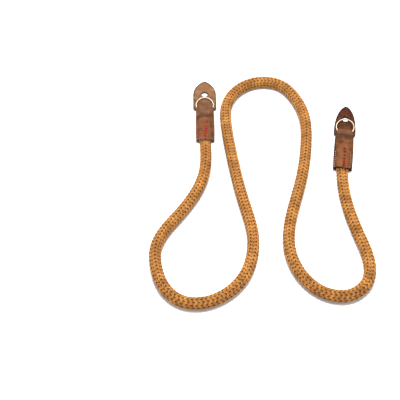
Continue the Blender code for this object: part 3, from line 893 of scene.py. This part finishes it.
# How much lighter the sleeve is made: where it lies flat, over the ring and, in full, over the rope
LIGHTER_CLOUD = (160.0, 120.0, 5.0)
LIGHTER_WHERE_FLAT = 0.25
LIGHTER_OVER_RING = 0.8
LIGHTER_FROM_S = -0.0085
LIGHTER_FADE = 0.003

# How far the painted edge reaches, and how far the painted shade of the right sleeve's left flank reaches
EDGE_START = 0.0001
EDGE_REACH = 0.0007
FLANK_SHADE_REACH = 0.0022

# Each sleeve's stain: its middle and width across, the share of a second one at the side, how
# strong both are, where they start along the end, and how dark the painted shade behind the ring is
STAIN_COLUMNS = (
    "end", "x", "width", "side_x", "side_width", "side_share", "strength", "start_s", "fade", "line",
)
STAIN_ROWS = (
    ("left", 0.0002, 0.0016, -0.0068, 0.0014, 0.5, 0.38, -0.026, 0.010, 0.15),
    ("right", 0.0016, 0.0014, -0.0068, 0.0014, 0.0, 0.6, -0.0405, 0.003, 0.62),
)


def folded_leather(end):
    """The sleeve's folded strip, laid in place, with its thickness and rounded rims."""
    points = end.world(sleeve_sheet(end))
    rows, columns = points.shape[:2]
    shape = bmesh.new()
    bmesh.ops.create_grid(shape, x_segments=columns - 1, y_segments=rows - 1, size=1.0)
    for vert in shape.verts:
        column = round((vert.co.x + 1.0) / 2.0 * (columns - 1))
        row = round((vert.co.y + 1.0) / 2.0 * (rows - 1))
        vert.co = points[row, column]
    sheet = made_mesh("folded_strip", shape)
    limit = math.radians(RIM_ANGLE_DEG)
    wall = dict(thickness=SLEEVE_LEATHER, offset=0.0, use_even_offset=True, use_quality_normals=True)
    rim = dict(width=SLEEVE_RIM_ROUND, segments=RIM_SEGMENTS, limit_method="ANGLE", angle_limit=limit)
    return finished_copy(f"{end.name}_sewn_sleeve", sheet, (("SOLIDIFY", wall), ("BEVEL", rim)))


def painted_share(end, x, s):
    """How much of the edge's paint shows at a place on the sleeve, with painted shade widening it on the
    right sleeve's left flank.
    """
    mouth = end.mouth_s - end.lip * float(bulge(x))
    margin = min(float(half_width(end, s)) - abs(x), s - mouth)
    # Painted shade: on the right sleeve's left flank, below the ring, the dark edge reaches further in
    wide = end.name == "right" and x < 0.0 and s < end.ring_low_s
    reach = FLANK_SHADE_REACH if wide else EDGE_REACH
    return 1.0 - float(ease((margin - EDGE_START) / reach))


def creased_rise(x, s):
    """How far creases, puckers and the pressed seam move the sleeve's upper face."""
    seam = bell(abs(x) - SEAM_X, SEAM_WIDTH) * float(ease((SEAM_TOP_S - s) / SEAM_FADE))
    rise = CREASE_DEPTH * cloud(x, s, CREASE_CLOUD) + PUCKER_DEPTH * cloud(x, s, PUCKER_CLOUD)
    return rise - SEAM_DEPTH * seam


def lighter_share(x, s):
    """How much lighter the sleeve is at a place."""
    over_rope_share = LIGHTER_WHERE_FLAT + (1.0 - LIGHTER_WHERE_FLAT) * float(bulge(x) * over_rope(x, s))
    over_ring_share = LIGHTER_OVER_RING * float(ease((s - LIGHTER_FROM_S) / LIGHTER_FADE))
    return max(over_rope_share, over_ring_share) * (0.5 + 0.5 * cloud(x, s, LIGHTER_CLOUD))


def stained_share(spot, x, s):
    """How strong the sleeve's stain is at a place."""
    near = bell(x - spot["x"], spot["width"])
    near += spot["side_share"] * bell(x - spot["side_x"], spot["side_width"])
    return spot["strength"] * near * float(ease((spot["start_s"] - s) / spot["fade"]))


def sleeve_mesh(end):
    """The folded leather with its pricked holes, pressed seams, soft creases, lighter places, stains and
    painted shade.
    """
    mesh = folded_leather(end)
    shape = bmesh.new()
    shape.from_mesh(mesh)
    shape.normal_update()
    tree = BVHTree.FromBMesh(shape)
    holes = holes_of(end)
    spot = row_named(STAIN_COLUMNS, STAIN_ROWS, end.name)
    edge, stain, lighter_tone = (shape.verts.layers.float.new(name) for name in MARKS)
    moves = []
    for vert in shape.verts:
        x, s = end.local(vert.co)[:2]
        vert[edge] = painted_share(end, x, s)
        hit = tree.ray_cast(Vector((vert.co.x, vert.co.y, ABOVE_ALL)), Vector((0.0, 0.0, -1.0)))[0]
        if hit is None or hit.z - vert.co.z > TOP_FACE_DEPTH:
            continue
        away = np.hypot(holes[:, 0] - x, holes[:, 1] - s)
        pricks = np.exp(-((away / holes[:, 2]) ** 2))
        moves.append((vert, creased_rise(x, s) - float((pricks * holes[:, 3]).sum())))
        # Painted shade along the band behind the ring and in the pricked holes, carried with the edge's
        # paint
        line = spot["line"] * bell(s - SHADE_BAND_S, SHADE_BAND_WIDTH)
        vert[edge] = max(vert[edge], line, HOLE_SHADE * float(pricks.max()))
        vert[stain] = stained_share(spot, x, s)
        vert[lighter_tone] = lighter_share(x, s)
    for vert, rise in moves:
        vert.co += vert.normal * rise
    shape.to_mesh(mesh)
    shape.free()
    mesh.shade_smooth()
    return mesh


# A stitch's height and its drop at both ends as shares of its width, and how high it lies
STITCH_HEIGHT = 0.8
STITCH_DROP = 1.2
STITCH_LIFT = 0.3


def stitch_mesh(end, row, sleeve):
    """Short lengths of thread that lie on the sleeve from hole to hole."""
    ground = bmesh.new()
    ground.from_mesh(sleeve)
    tree = BVHTree.FromBMesh(ground)
    shape = bmesh.new()
    for share, s in zip(np.linspace(0.0, 1.0, len(row["places"])), row["places"]):
        width = row["width"] + (row["last_width"] - row["width"]) * share
        across = row["x"] + (row["last_x"] - row["x"]) * share
        start = Vector(end.world((across, s, ABOVE_ALL)))
        place, normal = tree.ray_cast(start, Vector((0.0, 0.0, -1.0)))[:2]
        made = bmesh.ops.create_uvsphere(shape, u_segments=10, v_segments=8, radius=0.5)["verts"]
        bmesh.ops.scale(shape, verts=made, vec=(width, row["length"], width * STITCH_HEIGHT))
        for vert in made:
            vert.co.z -= width * STITCH_DROP * (vert.co.y / row["length"]) ** 2
        turn = Matrix.Rotation(math.radians(row["slant_deg"]) - end.heading, 4, "Z")
        tilt = Vector((0.0, 0.0, 1.0)).rotation_difference(normal).to_matrix().to_4x4()
        lift = Matrix.Translation(place + normal * width * (STITCH_LIFT - row["sink"]))
        bmesh.ops.transform(shape, verts=made, matrix=lift @ tilt @ turn)
    ground.free()
    return made_mesh(f"{end.name}_{row['thread']}_stitches", shape)


def ring_mesh(end):
    """Two turns of flat nickel wire, spun with a step between the wire's ends."""
    shape = bmesh.new()
    wire = bmesh.ops.create_circle(shape, segments=12, radius=0.5)["verts"]
    for vert in wire:
        for axis in (0, 1):
            value = vert.co[axis] * 2.0
            vert.co[axis] = math.copysign(abs(value) ** WIRE_CORNER_POWER, value) / 2.0
    bmesh.ops.scale(shape, verts=wire, vec=(RING_WIRE_WIDTH, RING_WIRE_HEIGHT, 1.0))
    pitch = RING_WIRE_HEIGHT + RING_TURN_GAP
    middle = RING_RADIUS - RING_WIRE_WIDTH / 2
    stand = Matrix.Translation((middle, 0.0, -pitch / 2)) @ Matrix.Rotation(math.pi / 2, 4, "X")
    bmesh.ops.transform(shape, verts=wire, matrix=stand)
    rim = shape.edges[:]
    first = 360.0 - RING_JOG_DEG
    second = first - RING_OPENING_DEG
    for sweep, rise in ((first, 0.0), (RING_JOG_DEG, pitch), (second, 0.0)):
        steps = max(RING_LEAST_STEPS, round(sweep / RING_STEP_DEG))
        turned = bmesh.ops.spin(
            shape, geom=rim, cent=(0.0, 0.0, 0.0), axis=(0.0, 0.0, 1.0), dvec=(0.0, 0.0, rise / steps),
            angle=math.radians(sweep), steps=steps, use_merge=False,
        )
        rim = [part for part in turned["geom_last"] if isinstance(part, bmesh.types.BMEdge)]
    close_skin(shape)
    # Painted shade on the wire's inner face, and patina with painted shade in the groove between the
    # turns
    shade_and_patina = shape.verts.layers.float.new("shade_and_patina")
    for vert in shape.verts:
        inward = (middle - math.hypot(vert.co.x, vert.co.y)) / RING_WIRE_WIDTH
        groove = 1.0 - float(ease(abs(vert.co.z) / RING_WIRE_HEIGHT * 2.0))
        inside = float(ease((inward - INNER_SHADE_FROM) / INNER_SHADE_FADE))
        vert[shade_and_patina] = max(INNER_SHADE_STRENGTH * inside, PATINA_AND_SHADE_BETWEEN * groove)
    lean = Matrix.Rotation(end.lean, 4, "X") @ Matrix.Rotation(math.radians(RING_JOG_AT_DEG), 4, "Z")
    seat = Matrix.Translation((0.0, end.ring_s, end.ring_z()))
    bmesh.ops.transform(shape, verts=shape.verts[:], matrix=end.matrix() @ seat @ lean)
    mesh = made_mesh(f"{end.name}_split_ring", shape)
    mesh.set_sharp_from_angle(angle=math.radians(RIM_ANGLE_DEG))
    return mesh


def tab_half_width(end, s):
    """Half the protector's width: a long round taper to the tip, and rounded lower corners."""
    from_tip = min(TAB_TIP_S - s, end.taper)
    width = end.tab_half * (1.0 - (1.0 - from_tip / end.taper) ** 2) ** end.tip_power
    from_low = min(s - TAB_LOW_S, TAB_CORNER)
    return width - TAB_CORNER + math.sqrt(max(0.0, TAB_CORNER**2 - (TAB_CORNER - from_low) ** 2))


def add_outline(shape, points):
    """A closed loop of edges through flat points."""
    verts = [shape.verts.new((x, s, 0.0)) for x, s in points]
    for vert, after in zip(verts, verts[1:] + verts[:1]):
        shape.edges.new((vert, after))


# How far a protector's painted edge reaches in, the arc of painted ring shadow past the ring's own
# middle, the stains of the tip, and where the right one is worn light near the ring
TAB_EDGE_START = 0.0004
TAB_EDGE_REACH = 0.0012
RING_SHADOW_PAST_RING = 0.0052
RING_SHADOW_RADIUS = 0.0073
RING_SHADOW_WIDTH = 0.0011
RING_SHADOW_DARKNESS = 0.9
RING_SHADOW_FADE = 0.006
TIP_STAIN_S = 0.022
TIP_STAIN_FADE = 0.010
SPOT_CLOUD = (700.0, 700.0, 1.4)
LOW_WORN_S = 0.016
LOW_WORN_FADE = 0.006
MIDDLE_WORN_WIDTH = 0.007


def tab_loops(end):
    """The protector's outline, its round hole and the slot for the sleeve's neck, flat."""
    side = []
    for turn in np.linspace(0.0, math.pi / 2, TAB_CORNER_STEPS)[:-1]:
        side.append(TAB_LOW_S + TAB_CORNER * (1.0 - math.cos(turn)))
    foot = TAB_TIP_S - end.taper
    side += list(np.linspace(TAB_LOW_S + TAB_CORNER, foot, TAB_SIDE_STEPS)[:-1])
    turns = np.linspace(0.0, math.pi / 2, TAB_TAPER_STEPS)[:-1]
    side += [foot + end.taper * math.sin(turn) for turn in turns]
    right = [(tab_half_width(end, s), s) for s in side]
    outline = right + [(0.0, TAB_TIP_S)] + [(-x, s) for x, s in reversed(right)]
    turns = np.linspace(0.0, 2.0 * math.pi, HOLE_STEPS, endpoint=False)
    hole = [(HOLE_RADIUS * math.cos(turn), end.hole_s + HOLE_RADIUS * math.sin(turn)) for turn in turns]
    neck = half_width(end, np.array((-FOLD_DEPTH, -FOLD_DEPTH / 2, 0.0)))
    reach = float(np.max(neck)) + SLOT_PLAY
    slot = [(reach, SLOT_LOW_S), (reach, SLOT_TOP_S), (-reach, SLOT_TOP_S), (-reach, SLOT_LOW_S)]
    return outline, hole, slot


def tab_marks(end, x, s):
    """How much edge paint, painted ring shadow, stain and wear shows at a place on the protector."""
    margin = tab_half_width(end, min(max(s, TAB_LOW_S), TAB_TIP_S)) - abs(x)
    slope = min(1.0, 0.25 + (TAB_TIP_S - s) / end.taper)
    margin = min(margin * slope + 0.0001, math.hypot(x, s - end.hole_s) - HOLE_RADIUS)
    paint = 1.0 - float(ease((margin - TAB_EDGE_START) / TAB_EDGE_REACH))
    # Painted shadow of the ring: a dark arc on the protector just inside it, carried with the edge's
    # paint
    from_arc = math.hypot(x, s - end.ring_s - RING_SHADOW_PAST_RING) - RING_SHADOW_RADIUS
    ring_shadow = RING_SHADOW_DARKNESS * bell(from_arc, RING_SHADOW_WIDTH) * float(ease((s - end.ring_s) / RING_SHADOW_FADE))
    spots = cloud(x, s, SPOT_CLOUD)
    if end.name == "right":
        near_tip = float(ease((s - TIP_STAIN_S) / TIP_STAIN_FADE))
        stain = 0.8 * near_tip * float(ease(spots * 2.0 - 0.1))
        worn = float(ease((LOW_WORN_S - s) / LOW_WORN_FADE)) * (0.45 + 0.5 * spots)
    else:
        stain = 0.3 * float(ease(spots + 0.3))
        worn = 0.8 * bell(x, MIDDLE_WORN_WIDTH)
    return max(paint, ring_shadow), stain, worn


def protector_mesh(end):
    """The tab: its outline with the hole and the neck's slot, cut, thickened, rounded and bent."""
    shape = bmesh.new()
    for points in tab_loops(end):
        add_outline(shape, points)
    bmesh.ops.triangle_fill(shape, edges=shape.edges[:], use_beauty=True, normal=(0.0, 0.0, 1.0))
    bmesh.ops.dissolve_limit(shape, angle_limit=0.01, verts=shape.verts[:], edges=shape.edges[:])
    half = end.tab_half
    for axis, low, high in (((1, 0, 0), -half, half), ((0, 1, 0), TAB_LOW_S, TAB_TIP_S)):
        for place in np.arange(low + TAB_CELL / 2, high, TAB_CELL):
            everything = shape.verts[:] + shape.edges[:] + shape.faces[:]
            point = Vector(axis) * float(place)
            bmesh.ops.bisect_plane(shape, geom=everything, dist=1e-6, plane_co=point, plane_no=axis)
    top = bmesh.ops.extrude_face_region(shape, geom=shape.faces[:])
    raised = [part for part in top["geom"] if isinstance(part, bmesh.types.BMVert)]
    bmesh.ops.translate(shape, verts=raised, vec=(0.0, 0.0, TAB_LEATHER))
    bmesh.ops.recalc_face_normals(shape, faces=shape.faces[:])
    round_rims(shape, TAB_RIM_ROUND)
    layers = [shape.verts.layers.float.new(name) for name in MARKS]
    for vert in shape.verts:
        x, s, z = vert.co
        for layer, share in zip(layers, tab_marks(end, x, s)):
            vert[layer] = share
        down = float(ease((s - SLOT_TOP_S - SLOT_PLAY) / TAB_BEND_LENGTH))
        vert.co.z = z + TAB_LIFT * (1.0 - down)
    bmesh.ops.transform(shape, verts=shape.verts[:], matrix=end.matrix())
    return made_mesh(f"{end.name}_leather_protector", shape)


# The studio


def add_floor():
    """A wide pale floor."""
    shape = bmesh.new()
    bmesh.ops.create_grid(shape, x_segments=1, y_segments=1, size=FLOOR_HALF_WIDTH)
    mesh = made_mesh("studio_floor", shape)
    made = Finish("pale_floor", 0.9, 0.1)
    mesh.materials.append(made.done(FLOOR_TONE))
    floor = bpy.data.objects.new("studio_floor", mesh)
    bpy.context.scene.collection.objects.link(floor)


def add_lamp():
    """One large square lamp over the strap."""
    data = bpy.data.lights.new("key_lamp", "AREA")
    data.size = LAMP_SIZE
    data.energy = LAMP_POWER
    lamp = bpy.data.objects.new("key_lamp", data)
    lamp.location = LAMP_PLACE
    lamp.rotation_euler = (Vector(LAMP_AIM) - Vector(LAMP_PLACE)).to_track_quat("-Z", "Y").to_euler()
    bpy.context.scene.collection.objects.link(lamp)


def add_studio():
    """The floor, a soft sky, one large lamp and the camera."""
    add_floor()
    world = bpy.data.worlds.new("soft_sky")
    world.use_nodes = True
    sky = world.node_tree.nodes["Background"]
    sky.inputs["Color"].default_value = SKY_TONE
    sky.inputs["Strength"].default_value = SKY_STRENGTH
    scene = bpy.context.scene
    scene.world = world
    scene.view_settings.view_transform = "Standard"
    add_lamp()
    data = bpy.data.cameras.new("camera")
    data.lens = CAMERA_LENS
    data.sensor_width = CAMERA_SENSOR
    data.clip_start = CAMERA_CLIP_START
    camera = bpy.data.objects.new("camera", data)
    lift = math.radians(CAMERA_ELEVATION_DEG)
    back = Vector((0.0, -math.cos(lift), math.sin(lift)))
    camera.location = Vector(CAMERA_AIM) + back * CAMERA_DISTANCE
    camera.rotation_euler = (math.pi / 2 - lift, 0.0, 0.0)
    scene.collection.objects.link(camera)
    scene.camera = camera


def dress_rope(ends):
    """The core and the plied strands in place of the plain tube."""
    line = RopeLine(ends)
    core = add_piece("rope_core", core_mesh(line), core_finish())
    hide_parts("rope")
    yarn = yarn_finish()
    for side, way in (("left", 1), ("right", -1)):
        for first in range(0, STRANDS_A_WAY, STRANDS_A_PIECE):
            name = f"{side}_laid_strands_{first // STRANDS_A_PIECE + 1}"
            mesh = strand_mesh(name, line, way, range(first, first + STRANDS_A_PIECE))
            add_piece(name, mesh, yarn)
    run = np.linspace(0.0, line.length, CORD_PATH_POINTS)
    tuple(ends[0].world((0.0, ends[0].mouth_s, ROPE_FLAT_Z)))
    line.around(run, 0.0 * run, 0.0).tolist()


def dress_end(end, threads, nickel):
    """The detailed pieces of one leather end, in place of the model's plain ones."""
    sleeve = sleeve_mesh(end)
    leather = leather_finish(f"{end.name}_sleeve")
    piece = add_piece(f"{end.name}_sewn_sleeve", sleeve, leather)
    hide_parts(f"{end.name}_sleeve")
    for row in rows_of(end):
        name = f"{end.name}_{row['thread']}_stitches"
        add_piece(name, stitch_mesh(end, row, sleeve), threads[row["thread"]])
    ring = add_piece(f"{end.name}_split_ring", ring_mesh(end), nickel)
    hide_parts(f"{end.name}_ring")
    leather = leather_finish(f"{end.name}_tab")
    tab = add_piece(f"{end.name}_leather_tab", protector_mesh(end), leather)
    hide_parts(f"{end.name}_protector")


def main():
    """Load the model, dress it and light it."""
    for thing in list(bpy.data.objects):
        bpy.data.objects.remove(thing)
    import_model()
    ends = [End(row) for row in END_ROWS]
    add_studio()
    dress_rope(ends)
    threads = {name: thread_finish(f"{name}_thread", *tones) for name, tones in THREAD_TONES.items()}
    nickel = nickel_finish()
    for end in ends:
        dress_end(end, threads, nickel)


main()
